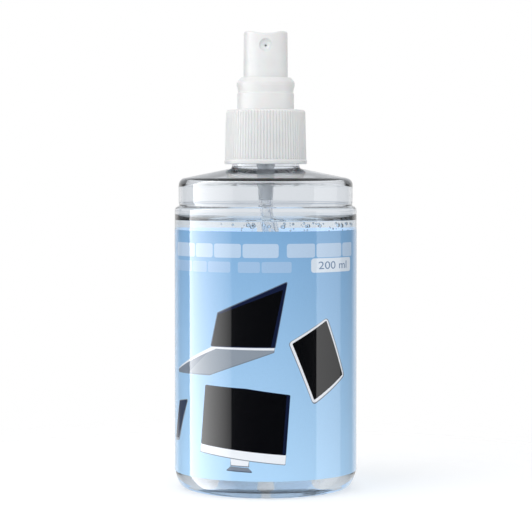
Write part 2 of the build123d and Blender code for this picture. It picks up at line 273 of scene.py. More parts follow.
def outline(corners, closed=True):
    """Stations (radius, height, normal on arriving, normal on leaving) of an outline.

    A corner is (radius, height) or (radius, height, fillet). The solid is on the left.
    """
    count = len(corners)
    stations = []
    for i, corner in enumerate(corners):
        here = Vector(corner[:2])
        before = here - Vector(corners[i - 1][:2])
        after = Vector(corners[(i + 1) % count][:2]) - here
        if not closed and i == 0:
            before = after
        if not closed and i == count - 1:
            after = before
        before = before.normalized()
        after = after.normalized()
        start = math.atan2(-before.x, before.y)
        turn = math.atan2(before.cross(after), before.dot(after))
        fillet = corner[2] if len(corner) == 3 else 0
        if not fillet or abs(turn) < 0.01:
            ends = [(math.cos(a), math.sin(a)) for a in (start, start + turn)]
            stations.append((here.x, here.y, *ends))
            continue
        side = math.copysign(1, turn)
        reach = fillet * math.tan(abs(turn) / 2)
        outward = Vector((math.cos(start), math.sin(start)))
        centre = here - before * reach - outward * fillet * side
        steps = max(2, math.ceil(abs(turn) / ARC_STEP))
        for k in range(steps + 1):
            angle = start + turn * k / steps
            normal = (math.cos(angle), math.sin(angle))
            stations.append((
                centre.x + normal[0] * fillet * side,
                centre.y + normal[1] * fillet * side,
                normal,
                normal,
            ))
    return stations


def refined(stations, step, low_z, high_z, closed):
    """The same outline with stations no further apart than step between two heights."""
    made = []
    last = len(stations) if closed else len(stations) - 1
    for i, station in enumerate(stations):
        made.append(station)
        if i >= last:
            break
        following = stations[(i + 1) % len(stations)]
        (r0, z0), (r1, z1) = station[:2], following[:2]
        if max(z0, z1) < low_z or min(z0, z1) > high_z or max(r0, r1) < 0.01:
            continue
        parts = math.ceil(math.hypot(r1 - r0, z1 - z0) / step)
        for k in range(1, parts):
            share = k / parts
            radius = r0 + (r1 - r0) * share
            height = z0 + (z1 - z0) * share
            made.append((radius, height, station[3], station[3]))
    return made


def polar(radius, angle, height):
    return (radius * math.cos(angle), radius * math.sin(angle), height)


def column_angle(k, steps):
    """Column 0 is at the front, so that both sides of the piece are alike."""
    return math.tau * (k % steps) / steps - math.pi / 2


def add_turned(shell, corners, steps=FINE_STEPS, closed=True, fine=None):
    """Adds a surface turned about Z. fine is (step, low height, high height)."""
    stations = outline(corners, closed)
    if fine:
        stations = refined(stations, *fine, closed)
    last = len(stations) if closed else len(stations) - 1
    for i in range(last):
        r0, z0, _, leave = stations[i]
        r1, z1, arrive, _ = stations[(i + 1) % len(stations)]
        if max(r0, r1) < 0.001:
            continue
        for k in range(steps):
            a = column_angle(k, steps)
            b = column_angle(k + 1, steps)
            shell.face(
                (polar(r0, a, z0), polar(r0, b, z0), polar(r1, b, z1), polar(r1, a, z1)),
                (
                    polar(leave[0], a, leave[1]),
                    polar(leave[0], b, leave[1]),
                    polar(arrive[0], b, arrive[1]),
                    polar(arrive[0], a, arrive[1]),
                ),
            )


def smooth(share):
    share = min(1.0, max(0.0, share))
    return share * share * (3 - 2 * share)


def ridge(point, turns, start_z):
    """Height of a helical ridge at a point, from 0 to 1, tapered at the thread's ends."""
    x, y, z = point
    share = math.atan2(y, x) / math.tau % 1
    taper = 0.06
    best = 0.0
    for whole in range(math.ceil(turns)):
        turned = share + whole
        if turned > turns:
            continue
        off = abs(z - start_z - turned * PITCH)
        rise = smooth((RIDGE_ROOT - off) / (RIDGE_ROOT - RIDGE_CREST))
        ends = smooth(turned / taper) * smooth((turns - turned) / taper)
        best = max(best, rise * ends)
    return best


def flipped(normal):
    return tuple(-part for part in normal)


def scaled_out(point, change):
    """The point moved outwards from the axis by a change in its radius."""
    if abs(change) < 1e-5:
        return point
    x, y, z = point
    factor = 1 + change / math.hypot(x, y)
    return (x * factor, y * factor, z)


# ---------------------------------------------------------------- materials

def add(tree, kind, feeds=None, **settings):
    """New shader node. feeds gives its inputs: a value, or another node's output."""
    made = tree.nodes.new("ShaderNode" + kind)
    for key, value in settings.items():
        setattr(made, key, value)
    for key, value in (feeds or {}).items():
        if isinstance(value, bpy.types.NodeSocket):
            tree.links.new(value, made.inputs[key])
        else:
            made.inputs[key].default_value = value
    return made


def principled(name, **values):
    """New material with the values set on its Principled shader."""
    material = bpy.data.materials.new(name)
    material.use_nodes = True
    shader = material.node_tree.nodes["Principled BSDF"]
    for key, value in values.items():
        shader.inputs[key.replace("_", " ")].default_value = value
    return material, material.node_tree, shader


def linear(red, green, blue):
    """Scene colour of a screen colour given from 0 to 255."""
    channels = []
    for value in (red, green, blue):
        value /= 255
        channels.append(value / 12.92 if value <= 0.04045 else ((value + 0.055) / 1.055) ** 2.4)
    return (*channels, 1.0)


def noise(tree, scale, detail=3.0, stretch=(1, 1, 1), roughness=0.5):
    """Noise in object space, in features per metre."""
    place = add(tree, "TexCoord").outputs["Object"]
    scaled = add(tree, "Mapping", {"Vector": place, "Scale": stretch}).outputs[0]
    feeds = {"Vector": scaled, "Scale": scale, "Detail": detail, "Roughness": roughness}
    return add(tree, "TexNoise", feeds).outputs[0]


def spread(tree, value, low, high):
    """Maps a noise value, which is mostly from 0.3 to 0.7, to a range."""
    feeds = {"Value": value, "From Min": 0.3, "From Max": 0.7, "To Min": low, "To Max": high}
    return add(tree, "MapRange", feeds).outputs[0]


def ramped(tree, value, start, end, kind="LINEAR"):
    """0 to 1 as a value goes from start to end."""
    feeds = {"Value": value, "From Min": start, "From Max": end}
    return add(tree, "MapRange", feeds, interpolation_type=kind).outputs[0]


def mixed(tree, share, first, second, **settings):
    """Colour between two colours."""
    feeds = {0: share, 6: first, 7: second}
    return add(tree, "Mix", feeds, data_type="RGBA", **settings).outputs[2]


def mottle(tree, shader, pattern, first, second):
    """Base colour that varies between two colours."""
    colour = mixed(tree, spread(tree, pattern, 0, 1), first, second)
    tree.links.new(colour, shader.inputs["Base Color"])


def vary_roughness(tree, shader, pattern, low, high):
    tree.links.new(spread(tree, pattern, low, high), shader.inputs["Roughness"])


def bump(tree, shader, height, depth_mm, strength=1.0, chain=None):
    """Bump of a real depth on the shader's normal. chain is an earlier bump's output."""
    feeds = {"Height": height, "Distance": depth_mm * MM, "Strength": strength}
    if chain is not None:
        feeds["Normal"] = chain
    made = add(tree, "Bump", feeds).outputs[0]
    tree.links.new(made, shader.inputs["Normal"])
    return made


def lets_lamps_through(material, colour):
    """Clear material whose shadow is only a tint, as thin clear plastic has."""
    tree = material.node_tree
    shader = tree.nodes["Principled BSDF"]
    output = tree.nodes["Material Output"]
    is_shadow = add(tree, "LightPath").outputs["Is Shadow Ray"]
    clear = add(tree, "BsdfTransparent", {"Color": colour}).outputs[0]
    mix = add(tree, "MixShader", {0: is_shadow, 1: shader.outputs[0], 2: clear})
    tree.links.new(mix.outputs[0], output.inputs["Surface"])


def make_pet():
    material, tree, shader = principled("pet_clear_bottle", Transmission_Weight=1.0, IOR=1.46)
    mottle(tree, shader, noise(tree, 90), (0.975, 0.985, 0.99, 1), (0.99, 0.995, 1, 1))
    vary_roughness(tree, shader, noise(tree, 400, 4), 0.0, 0.03)
    bump(tree, shader, noise(tree, 120, 1.5, (1, 1, 0.5)), 0.05, 0.35)
    lets_lamps_through(material, (0.975, 0.985, 0.99, 1))
    return material


def make_liquid_material():
    material, tree, shader = principled(
        "cleaning_liquid_clear", Transmission_Weight=1.0, IOR=1.34, Roughness=0.0)
    mottle(tree, shader, noise(tree, 60), (0.93, 0.97, 1, 1), (0.96, 0.985, 1, 1))
    bump(tree, shader, noise(tree, 160, 1.0), 0.03, 0.2)
    lets_lamps_through(material, (0.97, 0.985, 0.995, 1))
    return material


def make_plastic(name, light, dark, roughness, grain, **more):
    """Moulded plastic: mottled colour, uneven gloss, fine grain and faint flow waves."""
    material, tree, shader = principled(name, **more)
    mottle(tree, shader, noise(tree, 220, 4), dark, light)
    vary_roughness(tree, shader, noise(tree, 500, 5), roughness * 0.8, roughness * 1.25)
    flow = bump(tree, shader, noise(tree, 110, 1.0, (1, 1, 0.4)), 0.04, 0.25)
    bump(tree, shader, noise(tree, 2600, 3), grain, 0.35, flow)
    return material


def make_steel(name, scale):
    """Drawn or ground steel with fine lines across it."""
    material, tree, shader = principled(name, Metallic=1.0)
    lines = noise(tree, scale, 5, (1, 1, 0.2))
    mottle(tree, shader, lines, (0.50, 0.50, 0.49, 1), (0.68, 0.68, 0.67, 1))
    vary_roughness(tree, shader, lines, 0.18, 0.34)
    bump(tree, shader, lines, 0.01, 0.3)
    return material


def make_print(name, low, high, grain=0.03):
    """Glossy printed film whose ink goes from one colour at the foot to another at the top."""
    material, tree, shader = principled(
        name, Specular_IOR_Level=0.05, Coat_Weight=1.0, Coat_Roughness=0.02, Coat_IOR=1.5)
    place = add(tree, "TexCoord").outputs["Object"]
    height = add(tree, "SeparateXYZ", {0: place}).outputs[2]
    share = ramped(tree, height, LABEL_FOOT_Z * MM, LABEL_TOP_Z * MM)
    ink = mixed(tree, share, low, high)
    speck = spread(tree, noise(tree, 5000, 2), 1 - grain, 1 + grain)
    speckled = add(tree, "HueSaturation", {"Value": speck, "Color": ink}).outputs[0]
    tree.links.new(speckled, shader.inputs["Base Color"])
    vary_roughness(tree, shader, noise(tree, 900, 4), 0.34, 0.48)
    bump(tree, shader, noise(tree, 70, 1.5, (1, 1, 0.35)), 0.05, 0.12)
    lets_lamps_through(material, (0.74, 0.81, 0.88, 1))
    return material


def glow(material, colour, strength):
    """Painted light: a faint glow of its own on the film's inside, in place of the light that comes
    through the film.
    """
    shader = material.node_tree.nodes["Principled BSDF"]
    shader.inputs["Emission Color"].default_value = colour
    shader.inputs["Emission Strength"].default_value = strength


PET = make_pet()
LIQUID = make_liquid_material()
WHITE = make_plastic(
    "white_polypropylene", (0.90, 0.902, 0.905, 1), (0.865, 0.868, 0.872, 1), 0.34, 0.012,
    Subsurface_Weight=0.12, Subsurface_Scale=0.002, Specular_IOR_Level=0.25)
NATURAL = make_plastic(
    "natural_polypropylene", (0.97, 0.975, 0.985, 1), (0.94, 0.95, 0.965, 1), 0.16, 0.01,
    Transmission_Weight=0.62, IOR=1.49)
TUBE = make_plastic(
    "dip_tube_polyethylene", (0.985, 0.99, 1, 1), (0.96, 0.97, 0.985, 1), 0.02, 0.001,
    Transmission_Weight=0.97, IOR=1.5)
RUBBER = make_plastic("seal_rubber_black", (0.035, 0.035, 0.037, 1), (0.02, 0.02, 0.021, 1), 0.55, 0.02)
FOAM = make_plastic("gasket_foam_white", (0.78, 0.79, 0.80, 1), (0.66, 0.68, 0.69, 1), 0.7, 0.06)
WIRE = make_steel("spring_steel_drawn", 900)
BALL = make_steel("ball_steel_ground", 2500)

PRINTS = {
    "film": make_print("label_film_blue", linear(180, 219, 252), linear(133, 180, 224)),
    "back": make_print("label_back_blue_painted_glow", linear(172, 204, 236), linear(158, 194, 230)),
    "white": make_print("label_ink_white", linear(240, 244, 250), linear(236, 240, 247)),
    "black": make_print("label_ink_black", linear(5, 6, 11), linear(3, 4, 7)),
    "navy": make_print("label_ink_navy", linear(14, 24, 52), linear(20, 30, 62)),
    "silver": make_print("label_ink_silver", linear(150, 160, 172), linear(136, 147, 160)),
    "shade": make_print("label_ink_shade", linear(128, 138, 152), linear(118, 129, 144)),
    "grey": make_print("label_ink_grey", linear(84, 96, 116), linear(104, 118, 140)),
    "slate": make_print("label_ink_slate", linear(38, 50, 74), linear(44, 56, 80)),
    "headline": make_print("label_ink_headline", linear(196, 219, 243), linear(192, 216, 242)),
    "subline": make_print("label_ink_subline", linear(166, 199, 234), linear(166, 199, 234)),
    "pill": make_print("label_ink_pill", linear(226, 237, 249), linear(226, 237, 249)),
    "figures": make_print("label_ink_figures", linear(92, 124, 162), linear(92, 124, 162)),
}
# Painted light: the film's inside glows pale blue, in place of light coming through the film.
glow(PRINTS["back"], (0.62, 0.76, 0.92, 1), 0.75)


# ---------------------------------------------------------------- bottle and liquid

def neck_thread(point):
    radius = math.hypot(point[0], point[1])
    if abs(radius - NECK_R) > 0.01:
        return point
    return scaled_out(point, NECK_THREAD_HEIGHT * ridge(point, NECK_THREAD_TURNS, THREAD_Z))


def inside_of_base(wall_r, drop):
    """Outline of the bottle's inside from the axis to the wall, lowered by a drop."""
    floor_z = PUSH_UP + BASE_THICKNESS - drop
    return [
        (0, floor_z),
        (FOOT_RING_R - 4.5, floor_z - PUSH_UP_DROP, 8),
        (FOOT_RING_R - 0.3, 1.1 - drop, 1.5),
        (wall_r - 2.3, 1.1 - drop, 2.8),
        (wall_r, 4.5, 8.4),
    ]


def make_bottle():
    inner_r = BODY_R - WALL
    band_inner_r = BAND_R - WALL
    shell = Shell(neck_thread)
    add_turned(shell, [
        (0, PUSH_UP),
        (FOOT_RING_R - 4.5, PUSH_UP - PUSH_UP_DROP, 8),
        (FOOT_RING_R, 0, 1.5),
        (BODY_R - 2.46, 0, 3.2),
        (BODY_R, 3.86, 9.2),
        (BODY_R, BODY_TOP_Z + 0.9, 1.4),
        (BAND_R - 0.25, BAND_FOOT_Z, 0.25),
        (BAND_R, BAND_FOOT_Z + 1.0, 0.6),
        (BAND_R, BAND_TOP_Z - 0.3, 2.4),
        (NECK_R, SHOULDER_TOP_Z, 0.9),
        (NECK_R, NECK_TOP_Z, 0.3),
        (NECK_BORE_R, NECK_TOP_Z, 0.3),
        (NECK_BORE_R, SHOULDER_TOP_Z - 1.0, 1.2),
        (band_inner_r, BAND_TOP_Z - 1.3, 1.8),
        (band_inner_r, BAND_FOOT_Z + 1.0, 2.0),
        (band_inner_r - 0.25, BAND_FOOT_Z, 0.9),
        (inner_r, BODY_TOP_Z + 0.6, 1.2),
        *reversed(inside_of_base(inner_r, 0)),
    ], BOTTLE_STEPS, fine=(0.3, SHOULDER_TOP_Z + 2, NECK_TOP_Z - 0.5))
    shell.build("bottle_clear_pet", "bottle", [PET], ["bottle"])


def add_bubble(shell, centre, radius, rings=8, steps=14):
    """Round hole in the liquid."""

    def place(row, column):
        tilt = math.pi * row / rings
        angle = math.tau * (column % steps) / steps
        out = Vector((
            math.sin(tilt) * math.cos(angle), math.sin(tilt) * math.sin(angle), math.cos(tilt)))
        return tuple(Vector(centre) + out * radius), tuple(-out)

    for row in range(rings):
        for column in range(steps):
            shell.face_of([
                place(row, column),
                place(row, column + 1),
                place(row + 1, column + 1),
                place(row + 1, column),
            ])


def make_liquid():
    """Fill with bubbles under its surface. It has no shaft round the dip tube."""
    soaked_r = BODY_R - WALL + WALL_SOAK
    surface_z = LIQUID_TOP_Z - MENISCUS
    shell = Shell()
    add_turned(shell, [
        *inside_of_base(soaked_r, WALL_SOAK),
        (soaked_r, LIQUID_TOP_Z + MENISCUS),
        (soaked_r - WALL_SOAK - 0.05, LIQUID_TOP_Z + MENISCUS),
        (soaked_r - WALL_SOAK - 0.3, surface_z, 1.7),
        (0, surface_z),
    ], BOTTLE_STEPS)
    draw = random.Random(7)
    bubble_count = 64
    for k in range(bubble_count):
        radius = 0.2 + 0.55 * draw.random() ** 2
        if k < bubble_count * 0.6:
            angle = math.radians(draw.uniform(8, 72))
        elif k < bubble_count * 0.75:
            angle = math.radians(draw.uniform(-22, 8))
        else:
            angle = math.radians(draw.uniform(-180, 180))
        depth = draw.uniform(0.15, 2.8) if radius < 0.35 else draw.uniform(0.1, 0.9)
        out = BODY_R - WALL - radius - draw.uniform(0.1, 0.5)
        height = surface_z - radius - depth
        add_bubble(shell, (out * math.sin(angle), -out * math.cos(angle), height), radius)
    shell.build("cleaning_liquid_fill", "bottle", [LIQUID], ["cleaning_liquid"])


# ---------------------------------------------------------------- label

def rounded_shape(points, radius, steps=5):
    """Polygon with its corners rounded."""
    made = []
    for i, point in enumerate(points):
        here = Vector(point)
        before = (here - Vector(points[i - 1])).normalized()
        after = (Vector(points[(i + 1) % len(points)]) - here).normalized()
        turn = before.angle(after)
        reach = radius * math.tan(turn / 2)
        first = here - before * reach
        last = here + after * reach
        for k in range(steps + 1):
            share = k / steps
            blend = first.lerp(here, share).lerp(here.lerp(last, share), share)
            made.append((blend.x, blend.y))
    return made


def bar(left, right, foot, top, roundness):
    radius = min(right - left, top - foot) * roundness
    return rounded_shape([(left, foot), (right, foot), (right, top), (left, top)], radius)


def bars(count, left, right, foot, top, gap=0.5):
    """Row of bars of uneven length, which stands for a word."""
    widths = [1 + 0.3 * math.sin(2.3 * k + left) for k in range(count)]
    unit = (right - left - gap * (count - 1)) / sum(widths)
    made = []
    for width in widths:
        made.append(bar(left, left + width * unit, foot, top, 0.2))
        left += width * unit + gap
    return made


def figures(text, left, right, foot, top):
    """Triangles of a line of figures, fitted to a box."""
    curve = bpy.data.curves.new("figures", "FONT")
    curve.body = text
    holder = bpy.data.objects.new("figures", curve)
    mesh = bpy.data.meshes.new_from_object(holder)
    mesh.calc_loop_triangles()
    xs = [v.co.x for v in mesh.vertices]
    ys = [v.co.y for v in mesh.vertices]
    x_scale = (right - left) / (max(xs) - min(xs))
    y_scale = (top - foot) / (max(ys) - min(ys))
    made = []
    for triangle in mesh.loop_triangles:
        corners = [mesh.vertices[i].co for i in triangle.vertices]
        made.append([
            (left + (c.x - min(xs)) * x_scale, foot + (c.y - min(ys)) * y_scale) for c in corners])
    bpy.data.objects.remove(holder)
    bpy.data.curves.remove(curve)
    bpy.data.meshes.remove(mesh)
    return made


def label_art():
    """Printed shapes in drawing order: (ink, polygon). Across is the arc from the front, up is Z."""
    art = []

    def paint(ink, points, radius=0.0):
        art.append((ink, rounded_shape(points, radius) if radius else points))

    # Laptop, open and seen from a corner
    edge = [(-16.2, 46.3), (2.8, 46.2), (2.6, 44.6), (-18.2, 37.3), (-34.6, 37.1), (-35.4, 37.9)]
    paint("shade", edge, 0.3)
    paint("silver", [(-15.9, 46.4), (2.7, 46.2), (2.5, 44.9), (-18.0, 37.7), (-27.5, 37.6)], 0.2)
    rim = [(-16.4, 46.5), (2.7, 46.4), (2.6, 45.3), (-15.8, 45.5), (-34.2, 38.3), (-35.2, 38.2)]
    paint("white", rim, 0.15)
    paint("grey", [(-15.35, 56.5), (6.75, 66.15), (2.95, 46.0), (-17.9, 46.1)], 0.5)
    paint("navy", [(-15.1, 56.3), (6.55, 65.8), (2.75, 46.1), (-17.6, 46.2)], 0.4)
    paint("black", [(-15.3, 55.7), (5.3, 63.6), (1.6, 46.3), (-17.45, 46.4)], 0.3)
    # Tablet
    paint("shade", [(20.4, 54.9), (28.8, 36.5), (15.1, 28.3), (6.8, 47.5)], 1.3)
    paint("white", [(20.2, 54.65), (28.4, 36.65), (15.1, 28.75), (7.1, 47.5)], 1.2)
    paint("black", [(20.0, 53.9), (27.6, 36.95), (15.4, 29.9), (8.1, 47.25)], 0.4)
    # Screen on a stand
    paint("grey", [(-12.5, 8.7), (-10.9, 10.1), (-5.3, 9.8), (-3.8, 8.3)], 0.3)
    paint("shade", [(-12.2, 9.0), (-10.8, 10.1), (-5.4, 9.8), (-4.1, 8.6)], 0.3)
    paint("shade", [(-10.9, 14.0), (-5.0, 13.5), (-5.0, 10.0), (-10.9, 10.2)], 0.1)
    paint("white", [(-10.9, 12.8), (-5.0, 12.3), (-5.3, 10.3), (-10.7, 10.5)], 0.1)
    paint("shade", [(-21.75, 16.4), (6.3, 13.7), (5.95, 10.55), (-22.1, 13.7)], 0.4)
    paint("white", [(-21.7, 16.4), (6.2, 13.7), (5.9, 10.8), (-21.95, 13.95)], 0.4)
    paint("navy", [(-19.9, 34.4), (-6.0, 33.75), (7.55, 31.8), (6.2, 13.55), (-21.7, 16.25)], 0.5)
    paint("black", [(-19.7, 34.2), (-6.0, 33.5), (6.4, 31.75), (5.1, 13.75), (-21.6, 16.35)], 0.4)
    # Edge of a device at the left
    paint("silver", [(-34.3, 28.5), (-27.95, 29.45), (-34.4, 16.0), (-39.0, 15.5)], 0.6)
    paint("slate", [(-34.1, 28.3), (-28.3, 29.2), (-34.7, 16.8), (-38.7, 16.3)], 0.5)
    # Headline and second line, as plain bars in place of words
    for left, right, parts in ((-36.0, 3.9, 4), (6.4, 33.7, 3)):
        for points in bars(parts, left, right, 73.1, 77.3):
            paint("headline", points)
    for left, right, parts in ((-36.0, -10.9, 3), (-8.5, 7.9, 2)):
        for points in bars(parts, left, right, 68.6, 71.9):
            paint("subline", points)
    paint("pill", bar(14.3, 32.6, 68.5, 72.8, 0.25))
    for points in figures("200 ml", 17.0, 29.9, 69.5, 71.8):
        paint("figures", points)
    return art


def wrapped(across, up, radius):
    """Point and normal on a cylinder about Z, at an arc from the front."""
    angle = across / LABEL_R - math.pi / 2
    return polar(radius, angle, up), polar(1.0, angle, 0.0)


def signed_area(polygon):
    """Twice the area, below 0 for a clockwise polygon."""
    return sum(a[0] * b[1] - b[0] * a[1] for a, b in zip(polygon, polygon[1:] + polygon[:1]))


def make_label():
    inks = list(PRINTS)
    art = label_art()
    half = math.pi * LABEL_R - LABEL_GAP / 2
    columns = [half * (2 * k / LABEL_COLUMNS - 1) for k in range(LABEL_COLUMNS + 1)]
    points = []
    shapes = []
    for left, right in zip(columns, columns[1:]):
        shapes.append([
            (left, LABEL_FOOT_Z), (right, LABEL_FOOT_Z), (right, LABEL_TOP_Z), (left, LABEL_TOP_Z)])
    shapes += [polygon if signed_area(polygon) > 0 else polygon[::-1] for _, polygon in art]
    faces = []
    for polygon in shapes:
        faces.append(list(range(len(points), len(points) + len(polygon))))
        points += [Vector(p) for p in polygon]
    verts, _, cells, _, _, sources = delaunay_2d_cdt(points, [], faces, 4, 1e-4)
    shell = Shell()
    for cell, source in zip(cells, sources):
        top = max(source)
        ink = "film" if top < LABEL_COLUMNS else art[top - LABEL_COLUMNS][0]
        places = [wrapped(verts[i].x, verts[i].y, LABEL_R) for i in cell]
        if signed_area([verts[i] for i in cell]) < 0:
            places.reverse()
        shell.face_of(places, inks.index(ink))
    back = inks.index("back")
    for left, right in zip(columns, columns[1:]):
        corners = [(right, LABEL_FOOT_Z), (left, LABEL_FOOT_Z), (left, LABEL_TOP_Z), (right, LABEL_TOP_Z)]
        places = [wrapped(*corner, LABEL_BACK_R) for corner in corners]
        shell.face_of([(point, flipped(normal)) for point, normal in places], back)
    add_label_rim(shell, verts, columns, back)
    shell.build("label_printed_film", "bottle", list(PRINTS.values()), ["label"])


def add_label_rim(shell, verts, columns, slot):
    """The film's four cut edges. The front's edge may have more points than the back's columns."""
    for up, sign in ((LABEL_FOOT_Z, -1), (LABEL_TOP_Z, 1)):
        for left, right in zip(columns, columns[1:]):
            front = sorted(
                (v.x for v in verts if abs(v.y - up) < 1e-3 and left - 1e-3 < v.x < right + 1e-3),
                reverse=sign < 0)
            ends = (right, left) if sign > 0 else (left, right)
            ring = [wrapped(a, up, LABEL_R)[0] for a in front]
            ring += [wrapped(a, up, LABEL_BACK_R)[0] for a in ends]
            shell.face(ring, [(0, 0, sign)] * len(ring), slot)
    for across, sign in ((columns[0], -1), (columns[-1], 1)):
        _, normal = wrapped(across, 0, 1.0)
        side = (-normal[1] * sign, normal[0] * sign, 0)
        heights = (LABEL_FOOT_Z, LABEL_TOP_Z) if sign > 0 else (LABEL_TOP_Z, LABEL_FOOT_Z)
        ring = [wrapped(across, up, LABEL_R)[0] for up in heights]
        ring += [wrapped(across, up, LABEL_BACK_R)[0] for up in reversed(heights)]
        shell.face(ring[::-1], [side] * 4, slot)


# ---------------------------------------------------------------- closure and collar

def closure_surface(point):
    """Ribs on the outside of the skirt and the thread inside it."""
    x, y, z = point
    radius = math.hypot(x, y)
    flange_top = CLOSURE_FOOT_Z + FLANGE_HEIGHT
    if abs(radius - CLOSURE_BORE_R) < 0.01 and z > CLOSURE_FOOT_Z + 0.5:
        rise = ridge(point, CLOSURE_THREAD_TURNS, THREAD_Z - PITCH / 2)
        return scaled_out(point, -CLOSURE_THREAD_HEIGHT * rise)
    if radius < RIB_TOP_R - 1 or z < flange_top + 0.05 or z > CLOSURE_TOP_Z - 0.05:
        return point
    wave = math.cos(RIB_COUNT * math.atan2(y, x))
    groove = smooth(0.05 - 1.25 * wave)
    fade = smooth((CLOSURE_TOP_Z - 0.1 - z) / 0.9)
    return scaled_out(point, -RIB_DEPTH * groove * fade)


def make_closure():
    flange_top = CLOSURE_FOOT_Z + FLANGE_HEIGHT
    roof_z = CLOSURE_TOP_Z - CLOSURE_ROOF
    mouth_r = COLLAR_WAIST_R + 0.1
    shell = Shell(closure_surface)
    add_turned(shell, [
        (CLOSURE_BORE_R + 0.2, CLOSURE_FOOT_Z),
        (FLANGE_R - 0.1, CLOSURE_FOOT_Z, 0.3),
        (FLANGE_R, flange_top - 0.2, 0.4),
        (RIB_FOOT_R - 0.15, flange_top, 0.12),
        (RIB_FOOT_R, flange_top + 0.2),
        (RIB_TOP_R + 0.06, CLOSURE_TOP_Z - 3),
        (RIB_TOP_R, CLOSURE_TOP_Z, 1.0),
        (mouth_r, CLOSURE_TOP_Z, 0.15),
        (mouth_r, roof_z, 0.1),
        (PUMP_FLANGE_R + 0.3, roof_z, 0.2),
        (PUMP_FLANGE_R + 0.3, CAVITY_SHOULDER_Z + 1.2),
        (CLOSURE_BORE_R, CAVITY_SHOULDER_Z),
        (CLOSURE_BORE_R, CLOSURE_FOOT_Z + 0.4),
    ], RIB_COUNT * RIB_COLUMNS, fine=(0.4, CLOSURE_FOOT_Z + 2, CLOSURE_TOP_Z - 4))
    shell.build("closure_ribbed", "closure", [WHITE], ["screw_closure"])


def make_collar():
    flange_top = CLOSURE_TOP_Z - CLOSURE_ROOF - 0.05
    floor_top = CLOSURE_TOP_Z - 0.2
    gland_flange = HOUSING_TOP_Z + 0.8
    recess_r = 6.6
    shell = Shell()
    add_turned(shell, [
        (PUMP_FLANGE_R, COLLAR_FOOT_Z),
        (PUMP_FLANGE_R, flange_top, 0.1),
        (COLLAR_WAIST_R, flange_top),
        (COLLAR_WAIST_R, CLOSURE_TOP_Z + 0.1),
        (COLLAR_R, CLOSURE_TOP_Z + 0.1, 0.05),
        (COLLAR_R, COLLAR_GROOVE_Z - 0.45, 0.12),
        (COLLAR_GROOVE_R, COLLAR_GROOVE_Z - 0.25, 0.1),
        (COLLAR_GROOVE_R, COLLAR_GROOVE_Z + 0.1, 0.1),
        (COLLAR_BEAD_R, COLLAR_TOP_Z - 2.5, 0.8),
        (COLLAR_BEAD_R, COLLAR_TOP_Z - 1.5, 0.4),
        (COLLAR_MOUTH_R, COLLAR_TOP_Z, 0.5),
        (COLLAR_BORE_R, COLLAR_TOP_Z, 0.2),
        (COLLAR_BORE_R, floor_top, 0.5),
        (GLAND_R, floor_top, 0.1),
        (GLAND_R, gland_flange),
        (recess_r, gland_flange),
        (recess_r, COLLAR_FOOT_Z),
    ])
    shell.build("pump_collar", "pump", [WHITE], ["collar"])


# ---------------------------------------------------------------- button and nozzle

def dish(point):
    """The top of the button dips in a trough along Y, and its edge goes with it."""
    x, y, z = point
    if z < BUTTON_TOP_Z - 3.5 or math.hypot(x, y) < 0.3 and z < BUTTON_TOP_Z - 1:
        return point
    if math.hypot(x, y) < BUTTON_TOP_R - 0.9 and z < BUTTON_TOP_Z - 0.01:
        return point
    half = DISH_WIDTH / 2
    drop = DISH_DEPTH * (1 - (x / half) ** 2)
    soft = 0.1
    drop = (drop + math.sqrt(drop * drop + soft * soft)) / 2
    share = smooth((z - (BUTTON_TOP_Z - 2.6)) / 1.8) if z < BUTTON_TOP_Z - 0.8 else 1.0
    return (x, y, z - drop * share)


def button_radius(height):
    share = (height - BUTTON_FOOT_Z) / (BUTTON_TOP_Z - BUTTON_FOOT_Z)
    return BUTTON_FOOT_R + (BUTTON_TOP_R - BUTTON_FOOT_R) * share


def on_button(across, height):
    """Point and normal on the button's side, at a distance in x from its front line."""
    radius = button_radius(height)
    point = (across, -math.sqrt(radius * radius - across * across), height)
    slope = (BUTTON_FOOT_R - BUTTON_TOP_R) / (BUTTON_TOP_Z - BUTTON_FOOT_Z)
    normal = Vector((point[0] / radius, point[1] / radius, slope)).normalized()
    return point, tuple(normal)


